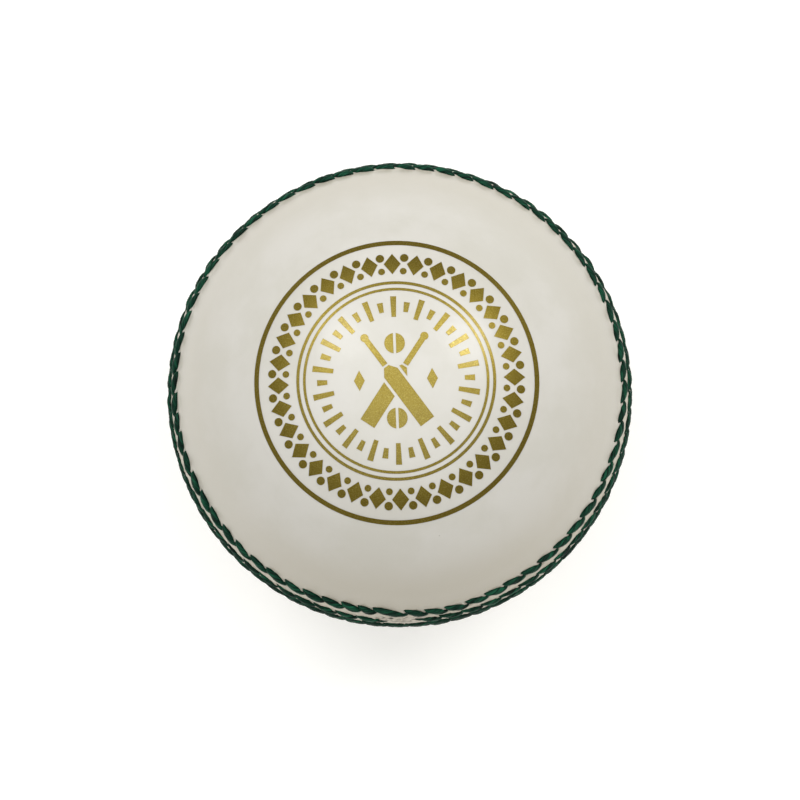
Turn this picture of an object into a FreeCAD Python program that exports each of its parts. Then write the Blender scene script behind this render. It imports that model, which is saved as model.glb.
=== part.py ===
import FreeCAD, Part
import math
import os

# Cricket ball, all lengths in millimetres and angles in degrees.
# The origin is the centre of the ball, +Z runs through the pole of the stamped cup
# and the seam lies in the XY plane.

# ---- ball and cover
LEATHER_RADIUS = 35.5
LEATHER_THICKNESS = 3.4
INNER_RADIUS = LEATHER_RADIUS - LEATHER_THICKNESS
CLEARANCE = 0.05

# ---- seam
STITCHES = 68
PITCH = 360.0 / STITCHES
THREAD_RADIUS = 0.42
THREAD_GAP = 0.02
THREAD_BEND = 0.5
LANE = 0.79
OUTER_ROW = 15.4
MIDDLE_ROW = 8.1
CLOSING_ROW = 2.6
OUTER_ROW_TOP = 35.75
MIDDLE_ROW_TOP = 35.93
CLOSING_ROW_TOP = 35.98
ROW_BOTTOM = 32.62
CLOSING_BOTTOM_SHALLOW = 33.5
CLOSING_BOTTOM_DEEP = 32.6
CLOSING_TAIL = 34.3
OUTER_ROW_START = 268.0 + 0.35 * PITCH
MIDDLE_ROW_START = 268.0
BARE_STITCHES = 2

# ---- stitch grooves, ridges and the channels skived on the inside
GROOVE_FLOOR_HALF = 0.95
GROOVE_TOP_HALF = 1.25
OUTER_RIDGE = 35.95
INNER_RIDGE = 36.05
RIDGE_SWELL = 0.12
LIP_RADIUS = 36.1
LIP_HALF = 0.45
CHANNEL_TOP = 33.15
CHANNEL_HALF = 1.01
CLOSING_CHANNEL_TOP = 34.0
CLOSING_CHANNEL_EDGE = 4.4
SLOT_WIDTH = 0.9
SLOT_LENGTH = 1.84
PRICK_RADIUS = 0.3
CUT_BELOW = 0.2
CUT_ABOVE = 0.4

# ---- core, outer radius of each layer from the middle outwards
NUCLEUS_RADIUS = 13.0
WINDING_RADII = [15.5, 20.5, 25.0, 28.6, INNER_RADIUS - CLEARANCE]
CORK_RADII = [18.0, 23.0, 27.0, 30.0]
CORK_STRIPS = [6, 6, 8, 8]
CORK_TURNS = [(0, 0, 0), (90, 0, 30), (0, 60, 15), (45, 90, 0)]
STRIP_GAP = 0.5

# ---- stamped foil seal, bands given as inner and outer radius
FOIL_THICKNESS = 0.05
FOIL_TILT = 3.3
FOIL_OUTER_RING = (20.3, 21.0)
FOIL_INNER_RINGS = [(14.15, 14.6), (13.2, 13.6)]
LOZENGE_BAND = (15.7, 18.9)
LOZENGE_COUNT = 32
LOZENGE_HALF = 1.25
BEAD_RADII = (0.5, 0.62)
RAY_BAND = (9.2, 12.3)
RAY_COUNT = 36
RAY_HALF = 0.44
RAY_TAPER = 0.75
SHORT_RAY_TRIM = 0.8

# ---- bats and balls in the middle of the seal
BAT_LEAN = 35
BAT_REACH = 7.6
BLADE_HALF = 1.2
SHOULDER = 1.2
NECK = 2.3
GRIP_START = 2.6
GRIP_HALF = 0.42
KNOB_RADIUS = 0.6
BAT_GAP = 0.4
BALLS_AT = (5.3, -5.6)
BALL_RADIUS = 1.5
BALL_SEAM_HALF = 0.2
SIDE_LOZENGE_AT = 5.3
SIDE_LOZENGE_HALF = (0.8, 1.5)

V = FreeCAD.Vector
ORIGIN = V(0, 0, 0)
os.makedirs("parts", exist_ok=True)


def save(name, shape):
    shape.exportStep("parts/" + name + ".step")


def at(radius, latitude, longitude=0.0):
    a = math.radians(latitude)
    b = math.radians(longitude)
    flat = radius * math.cos(a)
    return V(flat * math.cos(b), flat * math.sin(b), radius * math.sin(a))


def degrees(width, radius=LEATHER_RADIUS):
    return math.degrees(width / radius)


def turned_over(shape):
    copy = shape.copy()
    copy.rotate(ORIGIN, V(1, 0, 0), 180)
    return copy


# ---------------------------------------------------------------- leather cups

def groove_floor(top_radius):
    across = math.radians(math.hypot(PITCH, 2 * LANE))
    return top_radius * math.cos(across / 2) - THREAD_RADIUS - THREAD_GAP


def arc(radius, start, end, bulge=0.0):
    middle = at(radius + bulge, (start + end) / 2)
    return Part.Arc(at(radius, start), middle, at(radius, end)).toShape()


def line(start, end):
    return Part.LineSegment(start, end).toShape()


def path(points):
    return [line(a, b) for a, b in zip(points, points[1:])]


def cup_profile():
    floor = degrees(GROOVE_FLOOR_HALF)
    top = degrees(GROOVE_TOP_HALF)
    channel = degrees(CHANNEL_HALF, CHANNEL_TOP)
    closing = groove_floor(CLOSING_ROW_TOP)
    middle = groove_floor(MIDDLE_ROW_TOP)
    outer = groove_floor(OUTER_ROW_TOP)
    low, high = CLOSING_ROW + top, MIDDLE_ROW - top
    edges = path([at(CLOSING_CHANNEL_TOP, 0), at(LIP_RADIUS, 0), at(LIP_RADIUS, degrees(LIP_HALF)),
                  at(closing, CLOSING_ROW - floor), at(closing, CLOSING_ROW + floor),
                  at(INNER_RIDGE, low)])
    edges.append(arc(INNER_RIDGE, low, high, RIDGE_SWELL))
    low, next_high = MIDDLE_ROW + top, OUTER_ROW - top
    edges += path([at(INNER_RIDGE, high), at(middle, MIDDLE_ROW - floor),
                   at(middle, MIDDLE_ROW + floor), at(OUTER_RIDGE, low)])
    edges.append(arc(OUTER_RIDGE, low, next_high, RIDGE_SWELL))
    rim = OUTER_ROW + top
    edges += path([at(OUTER_RIDGE, next_high), at(outer, OUTER_ROW - floor),
                   at(outer, OUTER_ROW + floor), at(LEATHER_RADIUS, rim)])
    edges.append(arc(LEATHER_RADIUS, rim, 90))
    edges.append(line(at(LEATHER_RADIUS, 90), at(INNER_RADIUS, 90)))
    edge = 90
    for row in (OUTER_ROW, MIDDLE_ROW):
        edges.append(arc(INNER_RADIUS, edge, row + channel))
        edges += path([at(INNER_RADIUS, row + channel), at(CHANNEL_TOP, row + channel),
                       at(CHANNEL_TOP, row - channel), at(INNER_RADIUS, row - channel)])
        edge = row - channel
    edges.append(arc(INNER_RADIUS, edge, CLOSING_CHANNEL_EDGE))
    edges += path([at(INNER_RADIUS, CLOSING_CHANNEL_EDGE),
                   at(CLOSING_CHANNEL_TOP, CLOSING_CHANNEL_EDGE), at(CLOSING_CHANNEL_TOP, 0)])
    return Part.Face(Part.Wire(edges))


def aimed(shape, latitude, longitude):
    shape.rotate(ORIGIN, V(0, 1, 0), -latitude)
    shape.rotate(ORIGIN, V(0, 0, 1), longitude)
    return shape


def slot(latitude, longitude, bottom):
    corner = V(bottom - CUT_BELOW, -SLOT_WIDTH / 2, -SLOT_LENGTH / 2)
    depth = LEATHER_RADIUS + CUT_ABOVE - corner.x
    box = Part.makeBox(depth, SLOT_WIDTH, SLOT_LENGTH, corner)
    return aimed(box, latitude, longitude)


def prick(latitude, longitude, bottom):
    start = V(bottom - CUT_BELOW, 0, 0)
    depth = LEATHER_RADIUS + CUT_ABOVE - start.x
    awl = Part.makeCylinder(PRICK_RADIUS, depth, start, V(1, 0, 0))
    return aimed(awl, latitude, longitude)


def cup(bare_patch):
    holes = []
    for k in range(STITCHES):
        turn = k * PITCH
        holes.append(slot(OUTER_ROW, OUTER_ROW_START + turn, CHANNEL_TOP))
        holes.append(slot(CLOSING_ROW, turn, CLOSING_CHANNEL_TOP))
        cutter = prick if bare_patch and k == 0 else slot
        holes.append(cutter(MIDDLE_ROW, MIDDLE_ROW_START + turn, CHANNEL_TOP))
    body = cup_profile().revolve(ORIGIN, V(0, 0, 1), 360)
    if body.ShapeType != "Solid":
        body = body.Solids[0]
    return body.cut(Part.makeCompound(holes)).Solids[0]


# ---------------------------------------------------------------- threads

def softened(points):
    """Corner points replaced by two short facets round a small bend."""
    soft = [points[0]]
    for a, p, b in zip(points, points[1:], points[2:]):
        incoming = (p - a).normalize()
        outgoing = (b - p).normalize()
        turn = incoming.getAngle(outgoing)
        axis = incoming.cross(outgoing).normalize()
        inward = (outgoing - incoming).normalize()
        centre = p + inward * (THREAD_BEND / math.cos(turn / 2))
        radial = p - incoming * (THREAD_BEND * math.tan(turn / 2)) - centre
        for share in (0.25, 0.75):
            step = FreeCAD.Rotation(axis, math.degrees(turn * share))
            soft.append(centre + step.multVec(radial) * (1 / math.cos(turn / 4)))
    soft.append(points[-1])
    return soft


def swept(points):
    soft = softened(points)
    section = Part.Wire([Part.makeCircle(THREAD_RADIUS, soft[0], (soft[1] - soft[0]).normalize())])
    return Part.makePolygon(soft).makePipeShell([section], True, False, 1)


def strand(count, latitude, top, first_on_top):
    points = []
    for j in range(count):
        here, there = j * PITCH, (j + 1) * PITCH
        if (j % 2 == 0) == first_on_top:
            points += [at(top, latitude + LANE, here), at(top, latitude - LANE, there)]
        else:
            points += [at(ROW_BOTTOM, latitude - LANE, here), at(ROW_BOTTOM, latitude + LANE, there)]
    return points


def row_thread(count, latitude, top, start):
    """One thread sewn with both its ends, so that every gap is filled on top and beneath."""
    first = [at(ROW_BOTTOM, latitude + LANE, 0)] + strand(count, latitude, top, True)[:-2]
    first.append(at(ROW_BOTTOM, latitude - LANE, (count - 1) * PITCH))
    second = strand(count, latitude, top, False)[1:]
    second.append(at(ROW_BOTTOM, latitude - LANE, count * PITCH))
    thread = swept(first[::-1] + second)
    thread.rotate(ORIGIN, V(0, 0, 1), start)
    return thread


def closing_strand(first_in_front):
    """Front stitches leave the outer lane, back stitches leave the inner lane."""
    near, far = CLOSING_ROW - LANE, CLOSING_ROW + LANE
    points = []
    for j in range(STITCHES):
        here, there = j * PITCH, (j + 1) * PITCH
        if (j % 2 == 0) == first_in_front:
            points += [at(CLOSING_ROW_TOP, far, here), at(CLOSING_ROW_TOP, near, there)]
            points += [at(CLOSING_BOTTOM_SHALLOW, near, there), at(CLOSING_BOTTOM_SHALLOW, -near, there)]
        else:
            points += [at(CLOSING_ROW_TOP, -near, here), at(CLOSING_ROW_TOP, -far, there)]
            points += [at(CLOSING_BOTTOM_DEEP, -far, there), at(CLOSING_BOTTOM_DEEP, far, there)]
    return points[:-2]


def closing_thread():
    near, far = CLOSING_ROW - LANE, CLOSING_ROW + LANE
    first = [at(CLOSING_BOTTOM_DEEP, far, 0)] + closing_strand(True)
    first.append(at(CLOSING_TAIL, -far, 0))
    second = [at(CLOSING_BOTTOM_DEEP, -near, 0)] + closing_strand(False)
    second.append(at(CLOSING_TAIL, near, 0))
    return swept(first[::-1] + second)


# ---------------------------------------------------------------- core

def shell(inner, outer):
    return Part.makeSphere(outer).cut(Part.makeSphere(inner))


def cork_layer(inner, outer, strips, turns):
    """Gore shaped strips of cork laid side by side round the ball."""
    cutters = []
    for k in range(strips // 2):
        slab = Part.makeBox(2 * outer + 2, STRIP_GAP, 2 * outer + 2,
                            V(-outer - 1, -STRIP_GAP / 2, -outer - 1))
        slab.rotate(ORIGIN, V(0, 0, 1), k * 360.0 / strips)
        cutters.append(slab)
    layer = shell(inner, outer).cut(Part.makeCompound(cutters))
    for axis, turn in zip((V(1, 0, 0), V(0, 1, 0), V(0, 0, 1)), turns):
        layer.rotate(ORIGIN, axis, turn)
    return Part.makeCompound(layer.Solids)


# ---------------------------------------------------------------- foil seal

def stamped(faces):
    """Flat outlines thrown on the ball along the axis of the seal."""
    height = V(0, 0, LEATHER_RADIUS + 2)
    prisms = [face.extrude(height) for face in faces]
    leaf = shell(LEATHER_RADIUS, LEATHER_RADIUS + FOIL_THICKNESS)
    cap = Part.makeCylinder(LEATHER_RADIUS, LEATHER_RADIUS + 2)
    leaf = leaf.common(cap)
    pieces = []
    for prism in prisms:
        pieces += leaf.common(prism).Solids
    seal = Part.makeCompound(pieces)
    seal.rotate(ORIGIN, V(1, 0, 0), FOIL_TILT)
    return seal


def disc(radius, x=0.0, y=0.0):
    return Part.Face(Part.Wire([Part.makeCircle(radius, V(x, y, 0))]))


def ring(inner, outer):
    return disc(outer).cut(disc(inner)).Faces[0]


def polygon(points):
    corners = [V(x, y, 0) for x, y in points]
    return Part.Face(Part.makePolygon(corners + corners[:1]))


def lozenge(half_width, low, high, x=0.0):
    middle = (low + high) / 2
    return polygon([(x, low), (x + half_width, middle), (x, high), (x - half_width, middle)])


def strip(half_width, low, high):
    return polygon([(-half_width, low), (half_width, low), (half_width, high), (-half_width, high)])


def spun(face, angle):
    copy = face.copy()
    copy.rotate(ORIGIN, V(0, 0, 1), angle)
    return copy


def border_faces():
    """A ring of lozenges with a small and a large bead between each pair."""
    inner, outer = LOZENGE_BAND
    small, large = BEAD_RADII
    step = 360.0 / LOZENGE_COUNT
    faces = []
    for k in range(LOZENGE_COUNT):
        between = (k + 0.5) * step
        faces.append(spun(lozenge(LOZENGE_HALF, inner, outer), k * step))
        faces.append(spun(disc(small, 0, inner + small), between))
        faces.append(spun(disc(large, 0, outer - large), between))
    return faces


def ray(low, high):
    foot = RAY_HALF * RAY_TAPER
    return polygon([(-foot, low), (foot, low), (RAY_HALF, high), (-RAY_HALF, high)])


def ray_faces():
    inner, outer = RAY_BAND
    long_ray = ray(inner, outer)
    short_ray = ray(inner + SHORT_RAY_TRIM, outer - SHORT_RAY_TRIM)
    step = 360.0 / RAY_COUNT
    return [spun(short_ray if k % 2 else long_ray, k * step) for k in range(RAY_COUNT)]


def bat(angle):
    blade = polygon([(-BLADE_HALF, -BAT_REACH), (BLADE_HALF, -BAT_REACH), (BLADE_HALF, SHOULDER),
                     (GRIP_HALF, NECK), (-GRIP_HALF, NECK), (-BLADE_HALF, SHOULDER)])
    grip = strip(GRIP_HALF, GRIP_START, BAT_REACH)
    knob = disc(KNOB_RADIUS, 0, BAT_REACH)
    return [spun(blade, angle), spun(grip.fuse(knob).removeSplitter().Faces[0], angle)]


def room_for(angle):
    """The outline of a bat widened by the gap kept clear round it."""
    blade = strip(BLADE_HALF + BAT_GAP, -BAT_REACH, NECK + BAT_GAP)
    grip = strip(GRIP_HALF + BAT_GAP, NECK, BAT_REACH)
    return [spun(blade, angle), spun(grip, angle)]


def seamed_ball(y):
    return disc(BALL_RADIUS, 0, y).cut(strip(BALL_SEAM_HALF, y - BALL_RADIUS, y + BALL_RADIUS)).Faces


def motif_faces():
    """Two crossed bats with a ball above and below and a lozenge at each side."""
    faces = bat(BAT_LEAN)
    for part in bat(-BAT_LEAN):
        for gap in room_for(BAT_LEAN):
            part = part.cut(gap)
        faces += part.Faces
    for y in BALLS_AT:
        faces += seamed_ball(y)
    half_width, half_height = SIDE_LOZENGE_HALF
    for x in (-SIDE_LOZENGE_AT, SIDE_LOZENGE_AT):
        faces.append(lozenge(half_width, -half_height, half_height, x))
    return faces


# ---------------------------------------------------------------- assembly

save("cork_nucleus", Part.makeSphere(NUCLEUS_RADIUS))
below = NUCLEUS_RADIUS
for number, outer_radius in enumerate(WINDING_RADII):
    save("yarn_winding_%d" % (number + 1), shell(below + CLEARANCE, outer_radius))
    below = outer_radius
    if number < len(CORK_RADII):
        layer = cork_layer(below + CLEARANCE, CORK_RADII[number], CORK_STRIPS[number],
                           CORK_TURNS[number])
        save("cork_strips_%d" % (number + 1), layer)
        below = CORK_RADII[number]

save("cover_front", cup(True))
save("cover_back", turned_over(cup(False)))

outer_thread = row_thread(STITCHES, OUTER_ROW, OUTER_ROW_TOP, OUTER_ROW_START)
middle_thread = row_thread(STITCHES, MIDDLE_ROW, MIDDLE_ROW_TOP, MIDDLE_ROW_START)
short_thread = row_thread(STITCHES - BARE_STITCHES, MIDDLE_ROW, MIDDLE_ROW_TOP,
                          MIDDLE_ROW_START + PITCH)
save("seam_thread_front_outer", outer_thread)
save("seam_thread_front_middle", short_thread)
save("seam_thread_back_outer", turned_over(outer_thread))
save("seam_thread_back_middle", turned_over(middle_thread))
save("closing_thread", closing_thread())

save("foil_outer_ring", stamped([ring(*FOIL_OUTER_RING)]))
save("foil_border", stamped(border_faces()))
save("foil_inner_rings", stamped([ring(*pair) for pair in FOIL_INNER_RINGS]))
save("foil_rays", stamped(ray_faces()))
save("foil_centre_motif", stamped(motif_faces()))
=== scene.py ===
import math

import bpy
import numpy as np
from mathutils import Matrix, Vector


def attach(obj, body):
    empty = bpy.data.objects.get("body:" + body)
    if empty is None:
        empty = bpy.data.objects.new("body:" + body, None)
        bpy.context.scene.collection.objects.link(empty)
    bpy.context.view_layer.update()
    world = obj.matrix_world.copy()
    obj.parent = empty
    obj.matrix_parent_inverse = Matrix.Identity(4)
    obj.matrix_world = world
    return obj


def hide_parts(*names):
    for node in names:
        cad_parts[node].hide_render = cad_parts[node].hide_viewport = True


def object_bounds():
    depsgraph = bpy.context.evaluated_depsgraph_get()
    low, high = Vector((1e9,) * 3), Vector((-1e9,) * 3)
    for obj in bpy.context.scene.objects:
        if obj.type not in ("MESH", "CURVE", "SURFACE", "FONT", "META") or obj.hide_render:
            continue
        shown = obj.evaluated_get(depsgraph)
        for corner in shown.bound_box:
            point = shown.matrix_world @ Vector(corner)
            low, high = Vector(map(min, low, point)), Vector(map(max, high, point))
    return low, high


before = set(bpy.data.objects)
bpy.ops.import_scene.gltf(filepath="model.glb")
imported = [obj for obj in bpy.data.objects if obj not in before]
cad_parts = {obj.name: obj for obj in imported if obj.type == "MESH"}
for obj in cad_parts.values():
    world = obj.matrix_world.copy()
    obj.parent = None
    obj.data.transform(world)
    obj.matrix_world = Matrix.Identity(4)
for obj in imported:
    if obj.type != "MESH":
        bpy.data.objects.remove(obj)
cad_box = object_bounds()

# Lengths in this script are millimetres and angles are degrees until mesh_piece() turns
# them into metres. Latitude is measured from the seam's plane and longitude about +Z.
MM = 0.001
LEATHER = 35.5
INNER = 32.1
STITCHES = 68
PITCH = 360.0 / STITCHES
DEGREE = math.radians(LEATHER)          # millimetres of leather in one degree of latitude
SEED = 24
rng = np.random.default_rng(SEED)


# ------------------------------------------------------------------ seam layout

OUTER, MIDDLE, CLOSING = 15.4, 8.3, 2.6             # latitudes of the rows
OUTER_CREST, MIDDLE_CREST, CLOSING_CREST = 35.88, 35.95, 35.90
OUTER_SHIFT = 0.35 * PITCH                          # the outer rows' holes lie this far on
CLOSING_FILL = 0.13
HOLE_JITTER = 0.16                                  # degrees
LIFT_JITTER, LEAN_JITTER = 0.03, 0.06               # millimetres
WIDTH_JITTER = 0.06                                 # share of the width
WANDER = 0.07                                       # degrees
BARE_AT = 268.0                                     # longitude of the bare patch
BARE_STITCHES = (0, STITCHES - 1)

# Longitude, width and shift in latitude of each bend in the outer row.
MEND = [(281.0, 11.0, -1.7), (238.0, 14.0, -0.5), (264.0, 3.5, 0.3), (84.0, 4.0, 0.3)]

# Degrees that the holes before the mended stitch give way to it, the nearest first.
LONG_STITCH = (2.4, 1.1)


class Row:
    """One row of stitches: where its holes are and how high its thread stands.

    The fill, in millimetres, raises the thread at its holes and makes it thicker there.
    """

    def __init__(self, name, side, latitude, crest, start, bare=(), bends=(), fill=0.0):
        self.name = name
        self.side = side
        self.latitude = latitude
        self.crest = crest
        self.bare = bare
        self.bends = bends
        self.fill = fill
        self.holes = start + PITCH * np.arange(STITCHES + 1.0)
        jitter = rng.normal(0, HOLE_JITTER, STITCHES)
        self.holes += np.append(jitter, jitter[0])
        self.lift = rng.normal(0, LIFT_JITTER, STITCHES)
        self.lean = rng.normal(0, LEAN_JITTER, STITCHES)
        self.fat = rng.normal(1, WIDTH_JITTER, STITCHES)
        self.waves = rng.uniform(0, 360, 3)

    def line(self, longitude):
        """Latitude of the row, which wanders a little and bends where it was mended."""
        latitude = self.latitude + 0.0 * longitude
        for number, phase in enumerate(self.waves):
            latitude += WANDER * np.sin(np.radians((2 + 3 * number) * (longitude + phase)))
        for centre, width, shift in self.bends:
            latitude += shift * np.exp(-(shortest(longitude - centre) / width) ** 2)
        return latitude


front_rows = [
    Row("outer", 1, OUTER, OUTER_CREST, BARE_AT + OUTER_SHIFT, bends=MEND),
    Row("middle", 1, MIDDLE, MIDDLE_CREST, BARE_AT, bare=BARE_STITCHES),
    Row("closing", 1, CLOSING, CLOSING_CREST, 0.0, fill=CLOSING_FILL),
]
back_rows = [
    Row("outer", -1, OUTER, OUTER_CREST, BARE_AT + OUTER_SHIFT),
    Row("middle", -1, MIDDLE, MIDDLE_CREST, BARE_AT),
    Row("closing", -1, CLOSING, CLOSING_CREST, 0.0, fill=CLOSING_FILL),
]
for place, give in enumerate(LONG_STITCH):
    front_rows[0].holes[-2 - place] -= give


def shortest(angle):
    return (angle + 180.0) % 360.0 - 180.0


def smooth(x):
    x = np.clip(x, 0.0, 1.0)
    return x * x * (3.0 - 2.0 * x)


# ------------------------------------------------------------------ noise for the meshes

class Ripples:
    """Smooth seeded noise on the sphere, a sum of plane waves in space."""

    def __init__(self, wavelength, waves=24):
        directions = rng.normal(size=(waves, 3))
        directions /= np.linalg.norm(directions, axis=1)[:, None]
        spread = rng.uniform(0.7, 1.4, waves)
        self.k = directions * (2 * math.pi / wavelength / spread)[:, None]
        self.phase = rng.uniform(0, 2 * math.pi, waves)
        self.scale = math.sqrt(2.0 / waves)

    def __call__(self, points):
        total = np.zeros(points.shape[:-1])
        for k, phase in zip(self.k, self.phase):
            total += np.sin(points @ k + phase)
        return total * self.scale


def on_ball(radius, latitude, longitude):
    a = np.radians(latitude)
    b = np.radians(longitude)
    flat = radius * np.cos(a)
    return np.stack([flat * np.cos(b), flat * np.sin(b), radius * np.sin(a)], axis=-1)


# ------------------------------------------------------------------ leather cups

COLUMNS = STITCHES * 18
BAND_TOP = 19.8
FIRST_STEP = 0.15
FINE_STEP = 0.26
WIDE_STEP = 0.42
CLOSING_REACH = 1.9                     # degrees each side of the closing row that are fine
UPPER_BAND = (6.4, 17.2)                # latitudes of the two upper rows that are fine

# The leather's radius by latitude: it swells between the rows and dips under each.
LEVELS = np.array([
    (0.0, 35.80), (0.25, 35.94), (0.8, 36.02), (1.5, 36.00), (2.6, 35.94), (4.2, 36.04),
    (5.4, 36.10), (6.8, 36.04), (8.3, 35.94), (9.9, 36.04), (11.7, 36.10), (13.6, 36.00),
    (15.4, 35.86), (16.6, 35.78), (17.6, 35.66), (19.0, 35.55), (21.0, 35.50),
])

# Rings above the band, coarser towards the pole: what the columns are divided by, the highest
# latitude and the step.
DOME_RINGS = ((4, 34.0, 1.1), (8, 84.0, 1.7))
# Rings inside the cup: latitude and what the columns are divided by.
INSIDE_RINGS = ((82.0, 8), (68.0, 8), (54.0, 8), (40.0, 8), (26.0, 8), (12.0, 4), (0.0, 4))

# How a stitch presses the leather, in millimetres.
STITCH_REACH = 2.2
THREAD_SHOWS = -0.45                    # height above which the thread lies in its groove
GROOVE_DEPTH = 0.50
GROOVE_MARGIN = 0.26
HOLE_DEPTH = 0.30
HOLE_REACH = 0.26
PUCKER = 0.14
PUCKER_REACH = 0.32
PUCKER_AT = (-0.50, 0.30)
# The same, as shares or multiples.
FAR_AWAY = 9.0                          # times a groove's reach, where nothing is pressed
HOLE_IN_GROOVE = 0.5                    # share of a hole's depth that its groove takes away
OPEN_HOLE = 2.0                         # times as deep, where the thread is missing
# How dark the painted shade in a hole is, as a share of the hole's pressing.
HOLE_SHADE = 0.5

# Uneven leather: the latitude where it starts to fade out, the degrees that takes, and the
# heights in millimetres.
SEAM_EDGE, SEAM_FADE = 16.5, 3.5
ROWS_EDGE, ROWS_FADE = 13.0, 2.5
BROAD_RELIEF, FINE_RELIEF, GRAIN_RELIEF = 0.030, 0.028, 0.016
broad = Ripples(9.0)
fine = Ripples(1.6)
grain = Ripples(0.7)

# The bare patch.
PATCH_LATITUDE = 9.8
PATCH_HALF_HEIGHT, PATCH_HALF_WIDTH = 3.2, 5.6
CREASES = 1.7                           # radians of crease in one degree of latitude
CREASE_DEPTH = 0.11
CREASE_WARP, CREASE_WARP_SCALE, CREASE_RAGGED = 1.4, 2.2, 0.5
CREASE_SHADE = 0.9                      # radians from a crease's bottom to its darkest line
SHADE_LEVEL, SHADE_STEEPNESS = 0.2, 1.7
PATCH_GRAIN = 0.05


def millimetres_along(row):
    """Length of one degree of longitude at the row."""
    return DEGREE * math.cos(math.radians(row.latitude))


def press_stitch(row, index, latitude, longitude, depth, bite, pucker):
    """Presses one stitch into the part of the leather grid round it.

    A stitch that is missing leaves its two holes open and no groove.
    """
    line = stitch_line(row, index)
    start = row.holes[index]
    wide = millimetres_along(row)
    columns = np.flatnonzero(np.abs(shortest(longitude - start - PITCH / 2)) < PITCH)
    rings = np.flatnonzero(np.abs(latitude - row.line(start)) * DEGREE < STITCH_REACH)
    window = np.ix_(rings, columns)
    along = shortest(longitude[columns] - start) * wide
    across = (latitude[rings][:, None] - row.line(longitude[columns])[None, :]) * DEGREE
    along = np.broadcast_to(along[None, :], across.shape)
    if index not in row.bare:
        gap = np.full(across.shape, FAR_AWAY)
        for x, y, half_width in line[line[:, 2] > THREAD_SHOWS][:, (0, 1, 3)]:
            reach = half_width + GROOVE_MARGIN
            gap = np.minimum(gap, np.hypot(along - x, across - y) / reach)
        depth[window] = np.maximum(depth[window], 1 - smooth(gap))
    open_hole = OPEN_HOLE if index in row.bare else 1.0
    for x, y in (line[0, :2], line[-1, :2]):
        hole = open_hole * np.exp(-((along - x) ** 2 + (across - y) ** 2) / HOLE_REACH ** 2)
        bite[window] = np.maximum(bite[window], hole)
    x, y = PUCKER_AT
    swell = np.exp(-((along - x) ** 2 + (across - y) ** 2) / PUCKER_REACH ** 2)
    pucker[window] = np.maximum(pucker[window], swell)


def leather_field(rows, latitude, longitude):
    """Outer radius of a cup on a grid, and the painted shade in its holes and creases at each point."""
    lat, lon = np.meshgrid(latitude, longitude, indexing="ij")
    radius = np.interp(lat, LEVELS[:, 0], LEVELS[:, 1])
    points = on_ball(LEATHER, lat, lon)
    near_seam = 1 - smooth((lat - SEAM_EDGE) / SEAM_FADE)
    between_rows = 1 - smooth((lat - ROWS_EDGE) / ROWS_FADE)
    radius += near_seam * (BROAD_RELIEF * broad(points) + FINE_RELIEF * fine(points))
    radius += between_rows * GRAIN_RELIEF * grain(points)
    hole_and_crease_shade = np.zeros_like(radius)
    for row in rows:
        depth, bite, pucker = np.zeros_like(lat), np.zeros_like(lat), np.zeros_like(lat)
        for index in range(STITCHES):
            press_stitch(row, index, latitude, longitude, depth, bite, pucker)
        radius += PUCKER * pucker * (1 - depth) - GROOVE_DEPTH * depth
        radius -= HOLE_DEPTH * bite * (1 - HOLE_IN_GROOVE * depth)
        # Painted shade in the stitch holes, darkest in the open ones.
        hole_and_crease_shade = np.maximum(hole_and_crease_shade, np.clip(HOLE_SHADE * bite, 0, 1))
    if rows[0].side > 0:
        up = (lat - PATCH_LATITUDE) / PATCH_HALF_HEIGHT
        sideways = shortest(lon - BARE_AT) / PATCH_HALF_WIDTH
        patch = np.exp(-sideways ** 4) * np.exp(-up ** 4)
        warp = CREASE_WARP * broad(points * CREASE_WARP_SCALE)
        phase = lat * CREASES + warp + CREASE_RAGGED * fine(points)
        radius += patch * (CREASE_DEPTH * np.sin(phase) + PATCH_GRAIN * grain(points))
        # Painted shade along each crease, on the slope that faces the pole.
        shaded = np.sin(phase - CREASE_SHADE)
        hole_and_crease_shade = np.maximum(hole_and_crease_shade, patch * smooth(-SHADE_LEVEL - SHADE_STEEPNESS * shaded))
    return radius, hole_and_crease_shade


def band_latitudes():
    """Latitudes of the rings, close together across the rows and wider apart elsewhere."""
    latitudes = [0.0, FIRST_STEP]
    low, high = UPPER_BAND
    while latitudes[-1] < BAND_TOP:
        here = latitudes[-1]
        beside_row = abs(here - CLOSING) < CLOSING_REACH or low < here < high
        latitudes.append(here + (FINE_STEP if beside_row else WIDE_STEP))
    return latitudes


def cup_mesh(rows):
    """Rings of vertices from the join to the pole, then back inside, as one closed solid."""
    band = band_latitudes()
    longitude = np.arange(COLUMNS) * 360.0 / COLUMNS
    radius, hole_and_crease_shade = leather_field(rows, np.array(band), longitude)
    rings = [(latitude, COLUMNS, row) for latitude, row in zip(band, radius)]
    latitude = band[-1]
    for divisor, top, step in DOME_RINGS:
        while latitude < top:
            latitude += step
            rings.append((latitude, COLUMNS // divisor, LEATHER))
    outer_last = len(rings) - 1
    for latitude, divisor in INSIDE_RINGS:
        rings.append((latitude, COLUMNS // divisor, INNER))

    vertices, starts = [], []
    count = 0
    for latitude, columns, radii in rings:
        starts.append((count, columns))
        count += columns
        around = np.arange(columns) * 360.0 / columns
        vertices.append(on_ball(radii * np.ones(columns), np.full(columns, latitude), around))
    vertices.append(np.array([[0, 0, LEATHER], [0, 0, INNER]]))

    faces = []
    for number in range(len(rings) - 1):
        if number != outer_last:
            faces += bridge(*starts[number], *starts[number + 1])
    faces += bridge(*starts[-1], *starts[0])
    first, columns = starts[outer_last]
    faces += [(first + i, first + (i + 1) % columns, count) for i in range(columns)]
    first, columns = starts[outer_last + 1]
    faces += [(first + (i + 1) % columns, first + i, count + 1) for i in range(columns)]
    hole_and_crease_shade = np.concatenate([hole_and_crease_shade.ravel(), np.zeros(count + 2 - hole_and_crease_shade.size)])
    return np.concatenate(vertices), faces, hole_and_crease_shade


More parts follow.
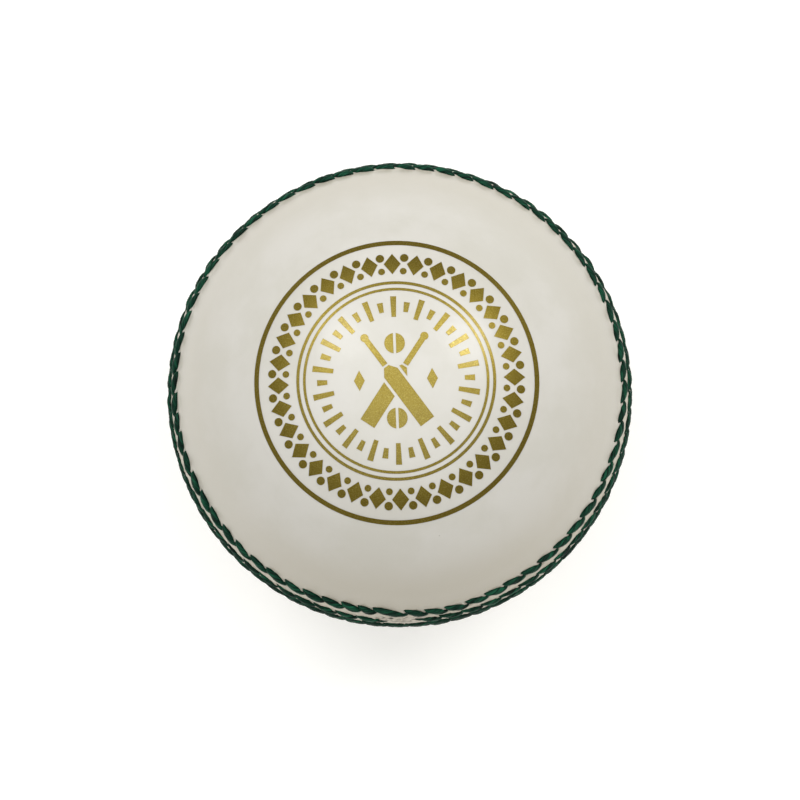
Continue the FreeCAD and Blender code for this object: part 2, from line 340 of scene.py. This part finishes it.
def bridge(low, low_count, high, high_count):
    """Faces between two rings whose counts are equal or differ by a whole factor."""
    if low_count == high_count:
        turns = [(i, (i + 1) % low_count) for i in range(low_count)]
        return [(low + i, low + j, high + j, high + i) for i, j in turns]
    if low_count < high_count:
        return [face[::-1] for face in bridge(high, high_count, low, low_count)]
    faces = []
    share = low_count // high_count
    half = share // 2
    for i in range(high_count):
        j = (i + 1) % high_count
        fan = [low + (i * share + n) % low_count for n in range(share + 1)]
        for n in range(share):
            faces.append((fan[n], fan[n + 1], high + (i if n < half else j)))
        faces.append((fan[half], high + j, high + i))
    return faces


def turned_over(points):
    """The back half is the front half turned over about the X axis."""
    return points * np.array([1.0, -1.0, -1.0])


def mesh_piece(name, vertices, faces, attributes, material, replaces):
    """Makes points in millimetres and their faces into a visible piece of the root body."""
    mesh = bpy.data.meshes.new(name)
    mesh.from_pydata((vertices * MM).tolist(), [], faces)
    for key, values in attributes.items():
        values = np.asarray(values, dtype=np.float32)
        kind, field = ("FLOAT", "value") if values.ndim == 1 else ("FLOAT_VECTOR", "vector")
        layer = mesh.attributes.new(key, kind, "POINT")
        layer.data.foreach_set(field, values.ravel())
    mesh.polygons.foreach_set("use_smooth", [True] * len(mesh.polygons))
    mesh.materials.append(material)
    mesh.update()
    piece = bpy.data.objects.new(name, mesh)
    bpy.context.scene.collection.objects.link(piece)
    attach(piece, "root")
    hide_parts(*replaces)
    return piece


# ------------------------------------------------------------------ thread

ALONG = 36
AROUND = 18
TWIST = 0.95                            # radians in one millimetre
TWIST_START = 6.28                      # radians, the most that a strand starts turned
HEADING_POINTS = 4                      # points each side of the middle that give its heading
PLIES, PLY_DEPTH = 4, 0.06              # the depths are shares of the strand's width
YARNS, YARN_DEPTH = 9, 0.02
FILL_SHARE = 0.5                        # share of a row's fill that goes to half thickness

# The frayed thread ends beside the bare patch. Lengths and ranges are millimetres.
FIBRES = 10
FIBRE_RINGS = 7
FIBRE_SIDES = 6
FIBRE_RADIUS = 0.10
FIBRE_TAPER = 0.75
FIBRE_ROOT = -0.35
FIBRE_REACH = (0.7, 1.9)
FIBRE_SPREAD = (-0.25, 0.25)
FIBRE_STRAY = (-0.5, 0.5)
FIBRE_HEIGHT = 0.22
FIBRE_ARCH = (-0.02, 0.12)
FIBRE_DROOP = 0.12
# Hole, heading and place across the row of each end.
CUT_ENDS = ((1, -1, 0.60), (STITCHES - 1, 1, -0.50))

# Points of a stitch from the hole where it comes up to the hole where it goes down: the share
# of the way along, millimetres beyond that, across towards the pole, height, and half sizes.
STITCH = np.array([
    (0.00, 0.02, 0.46, -1.10, 0.22, 0.24),
    (0.00, -0.24, 0.68, -0.42, 0.24, 0.26),
    (0.00, 0.10, 0.62, -0.06, 0.36, 0.36),
    (0.24, 0.00, 0.42, 0.03, 0.57, 0.48),
    (0.52, 0.00, 0.00, 0.05, 0.66, 0.54),
    (0.78, 0.00, -0.40, 0.02, 0.54, 0.48),
    (1.00, -0.08, -0.58, -0.20, 0.34, 0.36),
    (1.00, 0.20, -0.56, -1.10, 0.24, 0.24),
])


def through(points, count):
    """A smooth curve through the points."""
    before, after = 2 * points[:1] - points[1:2], 2 * points[-1:] - points[-2:-1]
    knots = np.concatenate([before, points, after])
    just_inside = len(points) - 1.000001
    place = np.linspace(0, just_inside, count)
    number = place.astype(int)
    t = (place - number)[:, None]
    a, b, c, d = knots[number], knots[number + 1], knots[number + 2], knots[number + 3]
    return b + 0.5 * t * (c - a + t * (2 * a - 5 * b + 4 * c - d + t * (3 * b - a - 3 * c + d)))


def stitch_line(row, index):
    """Rows of along, across, height, half width and half thickness, in millimetres."""
    reach = (row.holes[index + 1] - row.holes[index]) * millimetres_along(row)
    points = np.column_stack([STITCH[:, 0] * reach + STITCH[:, 1], STITCH[:, 2:]])
    line = through(points, ALONG)
    hump = np.sin(math.pi * np.clip(line[:, 0] / reach, 0, 1))
    line[:, 1] += row.lean[index] * hump
    line[:, 2] += row.lift[index] * hump + row.fill * (1 - hump)
    line[:, 4] += FILL_SHARE * row.fill * (1 - hump)
    line[:, 3] *= row.fat[index]
    return line


def stitch_mesh(row, index):
    """A flattened, twisted strand swept along the stitch's centre line.

    The second array places each point on the yarn for the material: the cosine and the sine of
    its turn round the twisted strand, and the millimetres run along it.
    """
    along, across, height, wide, thick = stitch_line(row, index).T
    longitude = row.holes[index] + along / millimetres_along(row)
    latitude = row.line(longitude) + across / DEGREE
    centre = on_ball(row.crest + height, latitude, longitude)
    steps = np.linalg.norm(np.diff(centre, axis=0), axis=1)
    run = np.concatenate([[0.0], np.cumsum(steps)])
    tangent = np.gradient(centre, axis=0)
    tangent /= np.linalg.norm(tangent, axis=1)[:, None]
    half = ALONG // 2
    outward = on_ball(1.0, latitude[half], longitude[half])
    heading = centre[half + HEADING_POINTS] - centre[half - HEADING_POINTS]
    side = np.cross(outward, heading / np.linalg.norm(heading))
    side = side - (tangent @ side)[:, None] * tangent
    side /= np.linalg.norm(side, axis=1)[:, None]
    up = np.cross(tangent, side)
    turn = np.linspace(0, 2 * math.pi, AROUND, endpoint=False)
    spin = turn[None, :] + run[:, None] * TWIST + rng.uniform(0, TWIST_START)
    lobes = 1 + PLY_DEPTH * np.cos(PLIES * spin) + YARN_DEPTH * np.cos(YARNS * spin)
    x = np.cos(turn)[None, :] * wide[:, None] * lobes
    y = np.sin(turn)[None, :] * thick[:, None] * lobes
    points = centre[:, None, :] + side[:, None, :] * x[..., None] + up[:, None, :] * y[..., None]
    fibre = np.stack([np.cos(spin), np.sin(spin), np.broadcast_to(run[:, None], x.shape)], axis=-1)
    return points.reshape(-1, 3), fibre.reshape(-1, 3)


def tube_faces(first, rings, sides):
    """Faces of a tube whose rings of vertices follow each other, with both ends closed."""
    faces = []
    for i in range(rings - 1):
        for j in range(sides):
            a = first + i * sides + j
            b = first + i * sides + (j + 1) % sides
            faces.append((a, b, b + sides, a + sides))
    faces.append(tuple(first + j for j in reversed(range(sides))))
    last = first + (rings - 1) * sides
    faces.append(tuple(last + j for j in range(sides)))
    return faces


def loose_fibre(row, hole, heading, across):
    """One thin fibre that lies on the leather, from a cut thread end at a hole."""
    t = np.linspace(0, 1, FIBRE_RINGS)
    along = heading * (FIBRE_ROOT + rng.uniform(*FIBRE_REACH) * t)
    aside = across + rng.uniform(*FIBRE_SPREAD)
    aside = aside + rng.uniform(*FIBRE_STRAY) * t + rng.uniform(*FIBRE_STRAY) * t ** 2
    height = FIBRE_HEIGHT + rng.uniform(*FIBRE_ARCH) * np.sin(math.pi * t) - FIBRE_DROOP * t
    longitude = row.holes[hole] + along / millimetres_along(row)
    centre = on_ball(row.crest + height, row.line(longitude) + aside / DEGREE, longitude)
    outward = centre[0] / np.linalg.norm(centre[0])
    side = np.cross(outward, centre[-1] - centre[0])
    side /= np.linalg.norm(side)
    turn = np.linspace(0, 2 * math.pi, FIBRE_SIDES, endpoint=False)
    thick = FIBRE_RADIUS * (1 - FIBRE_TAPER * t)[:, None, None]
    ring = side * np.cos(turn)[:, None] + outward * np.sin(turn)[:, None]
    points = centre[:, None, :] + thick * ring[None, :, :]
    return points.reshape(-1, 3)


def frayed_ends(row):
    """The fibres at both ends of the thread beside the bare patch, if the row has one."""
    if not row.bare:
        return []
    return [loose_fibre(row, *end) for end in CUT_ENDS for number in range(FIBRES)]


def thread_mesh(rows):
    """All the stitches of some rows as one mesh, with a random seed on each strand."""
    vertices, faces, fibres, seeds = [], [], [], []
    count = 0
    for row in rows:
        for index in range(STITCHES):
            if index in row.bare:
                continue
            points, fibre = stitch_mesh(row, index)
            if row.side < 0:
                points = turned_over(points)
            faces += tube_faces(count, ALONG, AROUND)
            vertices.append(points)
            fibres.append(fibre)
            seeds.append(np.full(len(points), rng.uniform()))
            count += len(points)
        for points in frayed_ends(row):
            faces += tube_faces(count, FIBRE_RINGS, FIBRE_SIDES)
            vertices.append(points)
            fibres.append(np.zeros_like(points))
            seeds.append(np.full(len(points), rng.uniform()))
            count += len(points)
    attributes = {"fibre": np.concatenate(fibres), "seed": np.concatenate(seeds)}
    return np.concatenate(vertices), faces, attributes


# ------------------------------------------------------------------ materials

# Distances here are metres. Each pair holds where a look begins and where it is full, measured
# from the seam's plane.
RAW_LEATHER = (0.0094, 0.0082)
GRIME = (0.0112, 0.0098)
# Where the painted shade near the seam begins and is full.
PAINTED_SHADE = (0.027, 0.014)
# Painted shade: the leather near the seam is darker towards both ends of the Y axis, most towards minus
# Y. Between these distances from the middle the painted shade rises to the second value of each pair.
SHADE_REACH = (0.016, 0.034)
SHADE_TO_MINUS_Y = (0.48, 0.92)
SHADE_TO_PLUS_Y = (0.0, 0.30)
EDGE_WANDER = 0.0012
SPECK = (0.022, 0.010)                  # cell distances where a speck begins and is full
SPECKS_SKIPPED = 0.55                   # share of the cells without a speck


class Shader:
    """A node material with a principled shader and short calls for its nodes."""

    def __init__(self, name):
        self.material = bpy.data.materials.new(name)
        self.material.use_nodes = True
        self.tree = self.material.node_tree
        self.surface = self.tree.nodes["Principled BSDF"]

    def node(self, kind, inputs=None, **settings):
        made = self.tree.nodes.new(kind)
        for key, value in settings.items():
            setattr(made, key, value)
        for key, value in (inputs or {}).items():
            self.feed(made.inputs[key], value)
        return made

    def feed(self, socket, value):
        if isinstance(value, bpy.types.NodeSocket):
            self.tree.links.new(value, socket)
        else:
            socket.default_value = value

    def set(self, **values):
        for key, value in values.items():
            self.feed(self.surface.inputs[key.replace("_", " ")], value)

    def place(self):
        return self.node("ShaderNodeTexCoord").outputs["Object"]

    def noise(self, vector, scale, detail=2.0, roughness=0.5):
        inputs = {"Vector": vector, "Scale": scale, "Detail": detail, "Roughness": roughness}
        return self.node("ShaderNodeTexNoise", inputs).outputs["Fac"]

    def cells(self, vector, scale):
        inputs = {"Vector": vector, "Scale": scale}
        return self.node("ShaderNodeTexVoronoi", inputs, feature="F1").outputs

    def split(self, vector):
        return self.node("ShaderNodeSeparateXYZ", {"Vector": vector}).outputs

    def math(self, operation, a, b=0.0):
        return self.node("ShaderNodeMath", {0: a, 1: b}, operation=operation).outputs[0]

    def times(self, a, b):
        return self.math("MULTIPLY", a, b)

    def span(self, value, low, high, to_low=0.0, to_high=1.0):
        """Goes smoothly from one output to the other while the value goes from low to high."""
        made = self.node("ShaderNodeMapRange", {"Value": value, "From Min": low, "From Max": high,
                                                "To Min": to_low, "To Max": to_high},
                         interpolation_type="SMOOTHSTEP")
        return made.outputs["Result"]

    def mix(self, factor, a, b):
        made = self.node("ShaderNodeMix", data_type="RGBA")
        self.feed(made.inputs[0], factor)
        self.feed(made.inputs[6], a)
        self.feed(made.inputs[7], b)
        return made.outputs[2]

    def ramp(self, factor, *stops):
        made = self.node("ShaderNodeValToRGB", {"Fac": factor})
        elements = made.color_ramp.elements
        while len(elements) < len(stops):
            elements.new(0.5)
        for element, (position, colour) in zip(elements, stops):
            element.position = position
            element.color = colour
        return made.outputs["Color"]

    def bump(self, height, distance, strength=1.0, under=None):
        inputs = {"Height": height, "Distance": distance, "Strength": strength}
        if under is not None:
            inputs["Normal"] = under
        return self.node("ShaderNodeBump", inputs).outputs["Normal"]

    def attribute(self, name):
        return self.node("ShaderNodeAttribute", attribute_name=name).outputs["Fac"]


def srgb(red, green, blue):
    """Linear colour from the 0 to 255 values a screen shows."""
    def linear(c):
        c /= 255.0
        return c / 12.92 if c <= 0.04045 else ((c + 0.055) / 1.055) ** 2.4
    return (linear(red), linear(green), linear(blue), 1.0)


def leather_material():
    """White lacquered leather, beige near the seam, with patches of grime and some specks, painted
    shade near the seam towards both ends of the Y axis, and painted shade in the holes and creases.
    """
    m = Shader("lacquered_leather")
    place = m.place()
    from_seam = m.math("ABSOLUTE", m.split(place)["Z"])
    across = m.split(place)["Y"]

    mottle = m.noise(place, 90.0, 4.0, 0.6)
    white = m.mix(m.span(mottle, 0.35, 0.65), srgb(199, 195, 184), srgb(205, 201, 192))
    # Painted shade near the seam, darker towards both ends of the Y axis.
    inner, outer = SHADE_REACH
    side_shade = m.math("ADD", m.span(across, -inner, -outer, *SHADE_TO_MINUS_Y),
                       m.span(across, inner, outer, *SHADE_TO_PLUS_Y))
    side_shade = m.times(m.span(from_seam, *PAINTED_SHADE), side_shade)
    white = m.mix(side_shade, white, srgb(184, 176, 158))

    wander = m.times(m.math("SUBTRACT", m.noise(place, 700.0, 3.0), 0.5), EDGE_WANDER)
    edge = m.math("ADD", from_seam, wander)
    raw = m.span(edge, *RAW_LEATHER)
    fibres = m.noise(place, 2600.0, 4.0, 0.7)
    raw_colour = m.mix(fibres, srgb(178, 166, 146), srgb(214, 206, 188))
    colour = m.mix(m.times(raw, 0.85), white, raw_colour)

    patches = m.span(m.noise(place, 420.0, 3.0), 0.45, 0.80)
    grime = m.times(m.span(edge, *GRIME), patches)
    colour = m.mix(m.times(grime, 0.42), colour, srgb(134, 128, 112))
    # Painted shade in the stitch holes and along the creases of the bare patch.
    colour = m.mix(m.times(m.attribute("hole_and_crease_shade"), 0.9), colour, srgb(54, 52, 38))

    spots = m.cells(place, 150.0)
    chosen = m.node("ShaderNodeSeparateColor", {"Color": spots["Color"]}).outputs["Red"]
    chosen = m.math("GREATER_THAN", chosen, SPECKS_SKIPPED)
    speck = m.times(m.span(spots["Distance"], *SPECK), chosen)
    colour = m.mix(m.times(speck, 0.6), colour, srgb(110, 96, 66))

    peel = m.noise(place, 1500.0, 2.0, 0.45)
    skin = m.noise(place, 5200.0, 3.0, 0.6)
    pores = m.cells(place, 3200.0)["Distance"]
    wrinkle = m.noise(place, 2800.0, 3.0, 0.65)
    normal = m.bump(peel, 0.00002, 0.5)
    normal = m.bump(skin, 0.000006, 0.5, normal)
    normal = m.bump(pores, 0.000012, 0.4, normal)
    lacquer = m.bump(wrinkle, 0.00002, 0.7, m.bump(peel, 0.00003, 0.6))
    rough = m.math("ADD", m.span(mottle, 0.3, 0.7, 0.38, 0.46), m.times(raw, 0.25))
    m.set(Base_Color=colour, Roughness=rough, Normal=normal, Coat_Normal=lacquer)
    m.set(Specular_IOR_Level=0.3, Coat_Weight=0.35, Coat_Roughness=0.18)
    return m.material


def thread_material():
    """Waxed green linen whose streaks follow the twist of the strand."""
    m = Shader("waxed_thread")
    fibre = m.node("ShaderNodeAttribute", attribute_name="fibre").outputs["Vector"]
    seed = m.attribute("seed")
    offset = m.node("ShaderNodeCombineXYZ", {"Z": m.times(seed, 40.0)}).outputs[0]
    stretch = {0: fibre, 1: (1.0, 1.0, 0.20)}
    place = m.node("ShaderNodeVectorMath", stretch, operation="MULTIPLY").outputs[0]
    place = m.node("ShaderNodeVectorMath", {0: place, 1: offset}, operation="ADD").outputs[0]

    streak = m.noise(place, 1.9, 3.0, 0.6)
    hair = m.noise(place, 7.0, 3.0, 0.6)
    shades = ((0.38, srgb(0, 12, 7)), (0.51, srgb(1, 44, 29)), (0.67, srgb(22, 90, 62)))
    colour = m.ramp(streak, *shades)
    colour = m.mix(m.times(seed, 0.4), colour, srgb(0, 34, 22))
    colour = m.mix(m.times(m.span(hair, 0.56, 0.74), 0.5), colour, srgb(48, 116, 86))
    normal = m.bump(hair, 0.00002, 0.8, m.bump(streak, 0.00006, 0.8))
    m.set(Base_Color=colour, Roughness=m.span(streak, 0.3, 0.7, 0.66, 0.50), Normal=normal)
    m.set(Specular_IOR_Level=0.12)
    return m.material


def foil_material():
    m = Shader("gold_foil")
    place = m.place()
    cloud = m.noise(place, 260.0, 3.0, 0.6)
    flake = m.noise(place, 7000.0, 2.0, 0.7)
    colour = m.mix(cloud, srgb(126, 107, 30), srgb(141, 122, 42))
    colour = m.mix(m.span(flake, 0.45, 0.7), colour, srgb(164, 148, 70))
    rough = m.span(flake, 0.3, 0.7, 0.48, 0.34)
    m.set(Base_Color=colour, Roughness=rough, Normal=m.bump(flake, 0.00002, 0.7))
    m.set(Metallic=1.0, Coat_Weight=0.5, Coat_Roughness=0.2)
    return m.material


def cork_material():
    m = Shader("cork")
    place = m.place()
    cells = m.cells(place, 900.0)["Distance"]
    grains = m.noise(place, 1800.0, 4.0, 0.7)
    colour = m.mix(cells, srgb(196, 152, 104), srgb(150, 104, 62))
    colour = m.mix(m.times(m.span(grains, 0.6, 0.8), 0.7), colour, srgb(84, 54, 30))
    rough = m.span(grains, 0.3, 0.7, 0.8, 0.95)
    m.set(Base_Color=colour, Roughness=rough, Normal=m.bump(cells, 0.0002, 0.6))
    return m.material


def yarn_material():
    m = Shader("wound_yarn")
    place = m.place()
    turns = {"Vector": place, "Scale": 420.0, "Distortion": 6.0, "Detail": 3.0}
    wave = m.node("ShaderNodeTexWave", turns, wave_type="BANDS", bands_direction="DIAGONAL")
    wave = wave.outputs["Fac"]
    fluff = m.noise(place, 3000.0, 4.0, 0.7)
    colour = m.mix(wave, srgb(176, 164, 140), srgb(222, 212, 190))
    colour = m.mix(m.times(fluff, 0.4), colour, srgb(240, 232, 214))
    rough = m.span(fluff, 0.3, 0.7, 0.85, 0.98)
    m.set(Base_Color=colour, Roughness=rough, Normal=m.bump(wave, 0.0003, 0.8))
    m.set(Sheen_Weight=0.2)
    return m.material


def floor_material():
    m = Shader("studio_floor")
    tone = m.noise(m.place(), 6.0, 3.0, 0.5)
    colour = m.mix(tone, srgb(234, 233, 230), srgb(236, 235, 232))
    m.set(Base_Color=colour, Roughness=m.span(tone, 0.3, 0.7, 0.85, 0.9))
    m.set(Emission_Color=(1.0, 0.98, 0.94, 1.0), Emission_Strength=0.27)
    return m.material


# ------------------------------------------------------------------ pieces

FLOOR_HALF = 4.0                        # metres


def dress_cad_nodes():
    """Gives their materials to the core and the foil, which are shown as the CAD made them."""
    looks = {"cork": cork_material(), "yarn": yarn_material(), "foil": foil_material()}
    for name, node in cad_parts.items():
        kind = name.split("_")[0]
        if kind in looks:
            node.data.materials.clear()
            node.data.materials.append(looks[kind])


def make_covers():
    leather = leather_material()
    for name, rows in (("front", front_rows), ("back", back_rows)):
        vertices, faces, hole_and_crease_shade = cup_mesh(rows)
        if name == "back":
            vertices = turned_over(vertices)
        mesh_piece("leather_cup_" + name, vertices, faces, {"hole_and_crease_shade": hole_and_crease_shade}, leather,
                   ["cover_" + name])


def make_threads():
    thread = thread_material()
    for name, rows in (("front", front_rows), ("back", back_rows)):
        for row in rows[:2]:
            vertices, faces, attributes = thread_mesh([row])
            mesh_piece(f"stitches_{name}_{row.name}", vertices, faces, attributes, thread,
                       [f"seam_thread_{name}_{row.name}"])
    vertices, faces, attributes = thread_mesh([front_rows[2], back_rows[2]])
    mesh_piece("stitches_closing", vertices, faces, attributes, thread,
               ["closing_thread"])


def make_floor():
    low, high = cad_box
    corners = [(x * FLOOR_HALF, y * FLOOR_HALF, low.z) for x, y in ((-1, -1), (1, -1), (1, 1), (-1, 1))]
    mesh = bpy.data.meshes.new("floor")
    mesh.from_pydata(corners, [], [(0, 1, 2, 3)])
    mesh.materials.append(floor_material())
    floor = bpy.data.objects.new("floor", mesh)
    bpy.context.scene.collection.objects.link(floor)


# ------------------------------------------------------------------ camera and lights

CAMERA_DISTANCE = 437.0                 # the towards and roll are longitudes
CAMERA_TILT = 7.0
CAMERA_TOWARDS = 276.9
CAMERA_ROLL = 88.0
CAMERA_DROP = 0.76
LENS = 124.8
SENSOR = 36.0
CLIP = (0.01, 20.0)                     # metres

# Name, direction in the camera's axes, distance and size in metres, power and colour.
LAMPS = (
    ("softbox_left", (-0.443, 0.449, 0.777), 0.9, 0.35, 1.6, (1.0, 1.0, 1.0)),
    ("softbox_right", (0.526, 0.427, 0.735), 0.9, 0.35, 2.1, (1.0, 1.0, 1.0)),
    ("overhead", (-0.06, 0.14, 0.98), 1.1, 2.8, 19.8, (0.95, 0.985, 1.03)),
    ("overhead_core", (-0.04, 0.12, 0.98), 1.1, 1.2, 1.9, (0.95, 0.985, 1.05)),
)
SURROUND_COLOUR = (1.0, 0.96, 0.88, 1.0)
SURROUND_STRENGTH = 0.20


def camera_axes():
    """The camera's right, its up and the way back from the ball to it."""
    back = Vector(on_ball(1.0, 90.0 - CAMERA_TILT, CAMERA_TOWARDS))
    up = Vector(on_ball(1.0, 0.0, CAMERA_ROLL))
    up = (up - back * up.dot(back)).normalized()
    return up.cross(back).normalized(), up, back


def make_camera():
    right, up, back = camera_axes()
    data = bpy.data.cameras.new("camera")
    data.lens = LENS
    data.sensor_width = SENSOR
    data.clip_start, data.clip_end = CLIP
    camera = bpy.data.objects.new("camera", data)
    camera.location = (back * CAMERA_DISTANCE - up * CAMERA_DROP) * MM
    matrix = camera.matrix_world.to_3x3()
    for axis, vector in enumerate((right, up, back)):
        for row in range(3):
            matrix[row][axis] = vector[row]
    camera.rotation_euler = matrix.to_euler()
    bpy.context.scene.collection.objects.link(camera)
    bpy.context.scene.camera = camera


def make_lamp(name, direction, distance, size, power, colour):
    """A round area light that faces the ball."""
    axes = camera_axes()
    towards = sum((axis * value for axis, value in zip(axes, direction)), Vector()).normalized()
    data = bpy.data.lights.new(name, "AREA")
    data.shape = "DISK"
    data.size = size
    data.energy = power
    data.color = colour
    lamp = bpy.data.objects.new(name, data)
    lamp.location = towards * distance
    lamp.rotation_euler = towards.to_track_quat("Z", "Y").to_euler()
    bpy.context.scene.collection.objects.link(lamp)


def make_lights():
    for lamp in LAMPS:
        make_lamp(*lamp)
    world = bpy.data.worlds.new("studio")
    world.use_nodes = True
    background = world.node_tree.nodes["Background"]
    background.inputs["Color"].default_value = SURROUND_COLOUR
    background.inputs["Strength"].default_value = SURROUND_STRENGTH
    bpy.context.scene.world = world
    bpy.context.scene.view_settings.view_transform = "Standard"


make_camera()
dress_cad_nodes()
make_covers()
make_threads()
make_floor()
make_lights()
